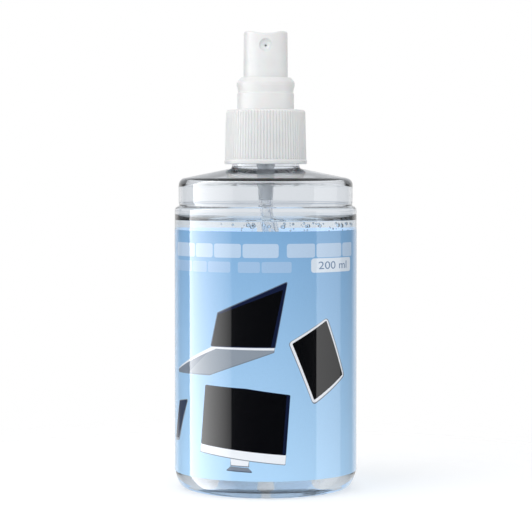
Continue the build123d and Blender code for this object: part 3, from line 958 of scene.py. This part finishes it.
def add_nozzle_window(shell, rows):
    """Part of the button's front wall, with the recess that the nozzle sits in."""
    rings = 40
    side = WINDOW_COLUMNS
    edge = [(k, WINDOW_FOOT_Z) for k in range(-side, side + 1)]
    heights = [WINDOW_FOOT_Z + (WINDOW_TOP_Z - WINDOW_FOOT_Z) * row / rows for row in range(1, rows)]
    edge += [(side, height) for height in heights]
    edge += [(k, WINDOW_TOP_Z) for k in range(side, -side - 1, -1)]
    edge += [(-side, height) for height in reversed(heights)]
    points = [Vector((math.sin(math.tau * k / FINE_STEPS) * button_radius(z), z)) for k, z in edge]
    border = len(edge)
    for extra, count in ((0.0, rings), (NOZZLE_RIM, rings), (0.45, rings), (0.9, rings // 2)):
        for k in range(count):
            angle = math.tau * k / count
            reach = NOZZLE_RECESS_R + extra
            points.append(Vector((reach * math.cos(angle), RECESS_Z + reach * math.sin(angle))))
    outline_edges = [(k, (k + 1) % border) for k in range(border)]
    hole_edges = [(border + k, border + (k + 1) % rings) for k in range(rings)]
    verts, _, cells, origins, _, _ = delaunay_2d_cdt(points, outline_edges + hole_edges, [], 1, 1e-5)
    for cell in cells:
        middle = sum((verts[i] for i in cell), Vector((0, 0))) / len(cell)
        if math.hypot(middle.x, middle.y - RECESS_Z) < NOZZLE_RECESS_R * 0.995:
            continue
        corners = []
        for i in cell:
            source = min(origins[i])
            place = points[source]
            if source < border:
                k, height = edge[source]
                point = polar(button_radius(height), column_angle(k, FINE_STEPS), height)
                _, normal = on_button(point[0], height)
            else:
                point, normal = on_button(place.x, place.y)
            if border <= source < border + rings:
                out = Vector((place.x, 0, place.y - RECESS_Z)).normalized()
                point = (point[0], point[1] + NOZZLE_RIM, point[2])
                normal = tuple((Vector(normal) * 0.4 - out * 0.9).normalized())
            corners.append((point, normal))
        area = (verts[cell[1]] - verts[cell[0]]).cross(verts[cell[2]] - verts[cell[0]])
        if area < 0:
            corners.reverse()
        shell.face_of(corners)
    inner_r = NOZZLE_R - 0.05
    for k in range(rings):
        quad = []
        floor = []
        for j in (k, k + 1):
            angle = math.tau * (j % rings) / rings
            out = (math.cos(angle), math.sin(angle))
            x, z = NOZZLE_RECESS_R * out[0], RECESS_Z + NOZZLE_RECESS_R * out[1]
            front, _ = on_button(points[border + j % rings].x, points[border + j % rings].y)
            front = (front[0], front[1] + NOZZLE_RIM, front[2])
            inward = (-out[0], 0, -out[1])
            deep = (x, NOZZLE_FACE_Y, z)
            quad.append((front, inward, deep))
            floor.append((deep, (inner_r * out[0], NOZZLE_FACE_Y, NOZZLE_Z + inner_r * out[1])))
        (a, an, a_deep), (b, bn, b_deep) = quad
        shell.face((a, b, b_deep, a_deep), (an, bn, bn, an))
        shell.face((floor[0][0], floor[1][0], floor[1][1], floor[0][1]), ((0, -1, 0),) * 4)
        back = [(p[0], NOZZLE_BACK_Y, p[2]) for p in (floor[0][1], floor[1][1])]
        shell.face((floor[0][1], floor[1][1], back[1], back[0]), (an, bn, bn, an))
        shell.face((back[0], back[1], (0, NOZZLE_BACK_Y, NOZZLE_Z)), ((0, -1, 0),) * 3)


def make_button():
    """Finger button with a socket for the stem. Its front wall is cut open for the nozzle."""
    window_foot = (button_radius(WINDOW_FOOT_Z), WINDOW_FOOT_Z)
    window_top = (button_radius(WINDOW_TOP_Z), WINDOW_TOP_Z)
    shell = Shell(dish)
    add_turned(shell, [
        (0, SOCKET_ROOF_Z),
        (SOCKET_R, SOCKET_ROOF_Z),
        (SOCKET_R, BOSS_FOOT_Z, 0.15),
        (BOSS_R, BOSS_FOOT_Z, 0.15),
        (BOSS_R, BUTTON_CEILING_Z, 0.3),
        (BUTTON_BORE_R, BUTTON_CEILING_Z, 0.3),
        (BUTTON_BORE_R, BUTTON_FOOT_Z, 0.15),
        (BUTTON_FOOT_R, BUTTON_FOOT_Z, 0.2),
        window_foot,
    ], closed=False)
    add_turned(shell, [
        window_top,
        (BUTTON_TOP_R, BUTTON_TOP_Z, 0.6),
        (0, BUTTON_TOP_Z),
    ], closed=False, fine=(0.3, WINDOW_TOP_Z, BUTTON_TOP_Z + 1))
    wall = Shell(dish)
    add_turned(
        wall, [window_foot, window_top], closed=False, fine=(WINDOW_ROW, WINDOW_FOOT_Z, WINDOW_TOP_Z))
    window_side = math.tau * WINDOW_COLUMNS / FINE_STEPS
    shell.carve = None
    for _, points, normals in wall.parts():
        middle = sum((Vector(p) for p in points), Vector()) / len(points)
        if abs(math.atan2(middle.x, -middle.y)) > window_side:
            shell.face(points, normals)
    shell.carve = dish
    add_nozzle_window(shell, len(wall.faces) // FINE_STEPS)
    shell.build("spray_button", "head", [WHITE], ["actuator"])


def make_nozzle_insert():
    """Turned cup with a conical face round the orifice, laid along Y."""
    front, back = -NOZZLE_FACE_Y, -NOZZLE_BACK_Y
    cup = Shell()
    chamber_r = 1.35
    add_turned(cup, [
        (chamber_r, back),
        (NOZZLE_R, back),
        (NOZZLE_R, front, 0.12),
        (1.3, front, 0.08),
        (0.62, front - 0.36, 0.1),
        (0.5, front - 0.5),
        (ORIFICE_R, front - 0.5, 0.04),
        (ORIFICE_R, front - 0.8),
        (chamber_r, front - 0.8),
    ], 64)
    shell = Shell()
    for _, points, normals in cup.parts():
        shell.face(
            [(x, -z, NOZZLE_Z + y) for x, y, z in points], [(x, -z, y) for x, y, z in normals])
    shell.build("nozzle_cup", "head", [WHITE], ["nozzle_insert"])


# ---------------------------------------------------------------- pump inside

def make_housing():
    seal_z = NECK_TOP_Z + 0.9
    ball_z = 99.9
    seat_r = 1.0
    seat_z = ball_z - math.sqrt(BALL_R ** 2 - seat_r ** 2) - 0.02
    chamber_r = 1.65
    shell = Shell()
    add_turned(shell, [
        (HOUSING_BORE_R, SPRING_SEAT_Z, 0.2),
        (chamber_r, SPRING_SEAT_Z),
        (chamber_r, seat_z + 0.8),
        (seat_r, seat_z),
        (seat_r, TUBE_TOP_Z),
        (TUBE_R + 0.03, TUBE_TOP_Z),
        (TUBE_R + 0.03, TAIL_FOOT_Z, 0.05),
        (2.25, TAIL_FOOT_Z, 0.1),
        (2.55, TUBE_TOP_Z - 0.3, 0.3),
        (2.9, TUBE_TOP_Z + 0.5, 0.4),
        (2.9, SPRING_SEAT_Z - 1.0, 0.5),
        (HOUSING_R, SPRING_SEAT_Z + 0.3, 0.5),
        (HOUSING_R, seal_z, 0.5),
        (PUMP_FLANGE_R, seal_z),
        (PUMP_FLANGE_R, HOUSING_TOP_Z),
        (HOUSING_BORE_R, HOUSING_TOP_Z),
    ])
    shell.build("pump_cylinder", "pump", [NATURAL], ["pump_housing"])


def add_tube(shell, path, radius, steps, wall=0.0):
    """Round tube along points, closed at both ends; with a wall it has a bore."""
    rings = {}
    surfaces = (radius, radius - wall) if wall else (radius,)
    for r in surfaces:
        rows = []
        side = Vector((0, 1, 0))
        for i, point in enumerate(path):
            along = (path[min(i + 1, len(path) - 1)] - path[max(i - 1, 0)]).normalized()
            side = (side - along * side.dot(along)).normalized()
            other = along.cross(side)
            row = []
            for k in range(steps):
                angle = math.tau * k / steps
                out = side * math.cos(angle) + other * math.sin(angle)
                row.append((tuple(point + out * r), tuple(out)))
            rows.append(row)
        rings[r] = rows
    for r, rows in rings.items():
        inside = r != radius
        for low, high in zip(rows, rows[1:]):
            for k in range(steps):
                m = (k + 1) % steps
                corners = [low[k], low[m], high[m], high[k]]
                if inside:
                    corners = [(point, flipped(normal)) for point, normal in reversed(corners)]
                shell.face_of(corners)
    for end, sign in ((0, -1), (-1, 1)):
        along = (path[1] - path[0]) if end == 0 else (path[-1] - path[-2])
        normal = tuple(along.normalized() * sign)
        outer = rings[radius][end]
        for k in range(steps):
            m = (k + 1) % steps
            if wall:
                inner = rings[radius - wall][end]
                corners = [outer[k][0], outer[m][0], inner[m][0], inner[k][0]]
            else:
                corners = [outer[k][0], outer[m][0], tuple(path[end])]
            shell.face(corners[::sign], [normal] * len(corners))


def make_dip_tube():
    """Tube on the CAD tube's line: straight down from the tail, then leaning to +X."""
    foot_z = box_mm("dip_tube")[0].z
    bend_z, bend_r, foot_x = 88.0, 45.0, 13.0
    lean = math.atan2(foot_x, bend_z - 4.6)
    reach = bend_r * math.tan(lean / 2)
    path = [Vector((0, 0, TUBE_TOP_Z)), Vector((0, 0, (TUBE_TOP_Z + bend_z + reach) / 2))]
    steps = 8
    for k in range(steps + 1):
        turn = lean * k / steps
        path.append(Vector((
            bend_r * (1 - math.cos(turn)), 0, bend_z + reach - bend_r * math.sin(turn))))
    start = path[-1].copy()
    runs = 12
    length = (start.z - foot_z - 0.9) / math.cos(lean)
    for k in range(1, runs + 1):
        share = length * k / runs
        path.append(start + Vector((math.sin(lean), 0, -math.cos(lean))) * share)
    shell = Shell()
    add_tube(shell, path, TUBE_R, 40, TUBE_R - TUBE_BORE_R)
    shell.build("dip_tube_bent", "pump", [TUBE], ["dip_tube"])


def make_spring(name, node, body, mean_r, wire_r, turns):
    """Round-wire coil in its CAD box."""
    low, high = box_mm(node)
    lift = high.z - low.z - 2 * wire_r
    steps = 36
    path = []
    for k in range(round(turns * steps) + 1):
        angle = math.tau * k / steps
        path.append(Vector(polar(mean_r, angle, low.z + wire_r + lift * k / (turns * steps))))
    shell = Shell()
    add_tube(shell, path, wire_r, 14)
    coil = shell.build(name, body, [WIRE], [node])
    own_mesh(coil)


def make_springs():
    make_spring(
        "return_spring_coil", "return_spring", "pump", 2.25, 0.25, 4.5)
    make_spring(
        "preload_spring_coil", "preload_spring", "plunger", 2.6, 0.22, 3.5)


def finish_cad_nodes():
    """CAD pieces that keep their shape get the finished materials."""
    finishes = {
        "gland": NATURAL, "pump_stem": NATURAL, "valve_rod": NATURAL, "piston": NATURAL,
        "stem_seal": RUBBER, "neck_gasket": FOAM, "inlet_ball": BALL,
    }
    for node, material in finishes.items():
        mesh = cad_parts[node].data
        mesh.materials.clear()
        mesh.materials.append(material)


make_bottle()
make_liquid()
make_label()
make_closure()
make_collar()
make_button()
make_nozzle_insert()
make_housing()
make_dip_tube()
make_springs()
finish_cad_nodes()


# ---------------------------------------------------------------- stage, light and camera

def stage_piece(name, verts, faces, material):
    mesh = bpy.data.meshes.new(name)
    mesh.from_pydata(verts, [], faces)
    mesh.materials.append(material)
    piece = bpy.data.objects.new(name, mesh)
    bpy.context.scene.collection.objects.link(piece)
    return piece


def make_floor():
    """Round pale floor that fades out, so that it meets the background with no line. Seen through glass it
    glows pale blue: painted light in the bottle's base.
    """
    material, tree, shader = principled("stage_floor", Roughness=0.9)
    shader.inputs["Base Color"].default_value = (0.9, 0.9, 0.9, 1)
    shader.inputs["Emission Color"].default_value = (1, 1, 1, 1)
    shader.inputs["Emission Strength"].default_value = 0.28
    # Painted light: seen through the bottle's glass the floor glows pale blue, standing in for the blue
    # light in the bottle's base.
    through = add(tree, "Emission", {"Color": (0.74, 0.84, 0.95, 1), "Strength": 0.9}).outputs[0]
    is_through = add(tree, "LightPath").outputs["Is Transmission Ray"]
    top = add(tree, "MixShader", {0: is_through, 1: shader.outputs[0], 2: through}).outputs[0]
    place = add(tree, "TexCoord").outputs["Object"]
    reach = add(tree, "VectorMath", {0: place}, operation="LENGTH").outputs["Value"]
    fade = ramped(tree, reach, 0.045, 0.19, "SMOOTHSTEP")
    clear = add(tree, "BsdfTransparent").outputs[0]
    mix = add(tree, "MixShader", {0: fade, 1: top, 2: clear})
    tree.links.new(mix.outputs[0], tree.nodes["Material Output"].inputs["Surface"])
    steps = 64
    verts = [polar(FLOOR_R, math.tau * k / steps, 0.0) for k in range(steps)]
    floor = stage_piece("stage_floor", verts, [list(range(steps))], material)
    floor.location.z = -FLOOR_DROP
    floor.visible_glossy = False


def make_card(name, side, azimuth, width, strength, fade_from):
    """Light card beside the object, seen only in reflections. Its strength changes along its width."""
    material = bpy.data.materials.new(name)
    material.use_nodes = True
    tree = material.node_tree
    tree.nodes.clear()
    place = add(tree, "TexCoord").outputs["Object"]
    across = add(tree, "SeparateXYZ", {0: place}).outputs[0]
    half = width / 2
    level = add(tree, "MapRange", {
        "Value": across, "From Min": -half, "From Max": half,
        "To Min": strength * fade_from, "To Max": strength}).outputs[0]
    emission = add(tree, "Emission", {"Strength": level}).outputs[0]
    output = add(tree, "OutputMaterial")
    tree.links.new(emission, output.inputs["Surface"])
    verts = [
        (-half, 0, CARD_FOOT_Z), (half, 0, CARD_FOOT_Z), (half, 0, CARD_TOP_Z), (-half, 0, CARD_TOP_Z)]
    card = stage_piece(name, verts, [[0, 1, 2, 3]], material)
    angle = math.radians(azimuth)
    card.location = (side * CARD_DISTANCE * math.sin(angle), -CARD_DISTANCE * math.cos(angle), 0)
    card.rotation_euler.z = side * angle
    if side < 0:
        card.scale.x = -1
    card.visible_camera = False
    card.visible_diffuse = False
    card.visible_transmission = False
    card.visible_shadow = False


def studio_level(tree, direction, stops):
    """Brightness by how far a direction points to the back. stops are (y from -1 to 1, level)."""
    along = add(tree, "SeparateXYZ", {0: direction}).outputs[1]
    share = ramped(tree, along, -1.0, 1.0)
    ramp = add(tree, "ValToRGB", {0: share})
    ramp.color_ramp.interpolation = "EASE"
    points = ramp.color_ramp.elements
    while len(points) < len(stops):
        points.new(0.5)
    for point, (place, level) in zip(points, stops):
        point.position = (place + 1) / 2
        point.color = (level, level, level, 1)
    return ramp.outputs[0]


def low_strip(tree, up):
    """1 in a dim strip just above the horizon, which the liquid's surface mirrors as a darker line."""
    low, high, soft = 0.016, 0.05, 0.006
    rising = ramped(tree, up, low - soft, low + soft)
    falling = ramped(tree, up, high + soft, high - soft)
    return add(tree, "Math", {0: rising, 1: falling}, operation="MULTIPLY").outputs[0]


def make_world():
    """White to the camera; a studio to everything else."""
    world = bpy.data.worlds.new("studio")
    bpy.context.scene.world = world
    world.use_nodes = True
    tree = world.node_tree
    tree.nodes.clear()
    direction = add(tree, "TexCoord").outputs["Generated"]
    up = add(tree, "SeparateXYZ", {0: direction}).outputs[2]
    mirrored = studio_level(
        tree, direction, [(-1, 0.01), (-0.3, 0.01), (0.35, 0.012), (0.72, 0.12), (0.88, 0.85)])
    soft = studio_level(
        tree, direction, [(-1, 0.80), (-0.4, 0.72), (0.1, 0.56), (0.6, 0.32), (1, 0.28)])
    behind = studio_level(
        tree, direction, [(-1, 0.62), (-0.3, 0.60), (0.3, 0.66), (0.8, 0.78), (1, 0.80)])
    paths = add(tree, "LightPath")
    depth = paths.outputs["Transmission Depth"]
    inside = add(tree, "Math", {0: depth, 1: 0.5}, operation="GREATER_THAN").outputs[0]
    bluish = mixed(tree, 1.0, behind, (0.955, 0.985, 1.03, 1), blend_type="MULTIPLY")
    through = mixed(tree, low_strip(tree, up), bluish, (0.24, 0.31, 0.41, 1))
    sky = ramped(tree, up, 0.3, 0.9, "SMOOTHSTEP")
    lit = mixed(tree, sky, soft, (0.85, 0.85, 0.85, 1))
    ceiling = ramped(tree, up, 0.03, 0.2, "SMOOTHSTEP")
    shown = mixed(tree, ceiling, mirrored, (0.93, 0.96, 1.0, 1))
    level = mixed(tree, paths.outputs["Is Glossy Ray"], lit, shown)
    level = mixed(tree, inside, level, through)
    studio = add(tree, "Background", {"Color": level}).outputs[0]
    white = add(tree, "Background", {"Color": (1, 1, 1, 1)}).outputs[0]
    mix = add(tree, "MixShader", {0: paths.outputs["Is Camera Ray"], 1: studio, 2: white})
    output = add(tree, "OutputWorld")
    tree.links.new(mix.outputs[0], output.inputs["Surface"])


def make_lamp(name, place, size, power):
    """Soft lamp aimed at the object, which shows in no reflection."""
    data = bpy.data.lights.new(name, "AREA")
    data.shape = "SQUARE"
    data.size = size
    data.energy = power
    lamp = bpy.data.objects.new(name, data)
    bpy.context.scene.collection.objects.link(lamp)
    lamp.location = place
    aim = Vector(LAMP_AIM) - Vector(place)
    lamp.rotation_euler = aim.to_track_quat("-Z", "Y").to_euler()
    lamp.visible_glossy = False
    lamp.visible_transmission = False
    lamp.visible_camera = False


def make_camera():
    """Camera in front of the object at the height of its shoulder, tilted down a little."""
    data = bpy.data.cameras.new("camera")
    data.sensor_width = 36
    data.lens = CAMERA_LENS
    data.clip_start, data.clip_end = 0.01, 10
    camera = bpy.data.objects.new("camera", data)
    bpy.context.scene.collection.objects.link(camera)
    camera.location = CAMERA_PLACE
    camera.rotation_euler = (math.radians(90 - CAMERA_TILT), 0, math.radians(CAMERA_YAW))
    bpy.context.scene.camera = camera


make_floor()
make_world()
make_card("card_left", -1, 72, 0.198, 8.0, 0.12)
make_card("card_right", 1, 81, 0.115, 0.9, 2.2)
make_lamp("key", (-0.45, -0.45, 0.45), 0.5, 1.15)
make_lamp("fill", (0.5, -0.5, 0.25), 0.5, 0.2)
make_camera()
bpy.context.scene.view_settings.view_transform = "Standard"
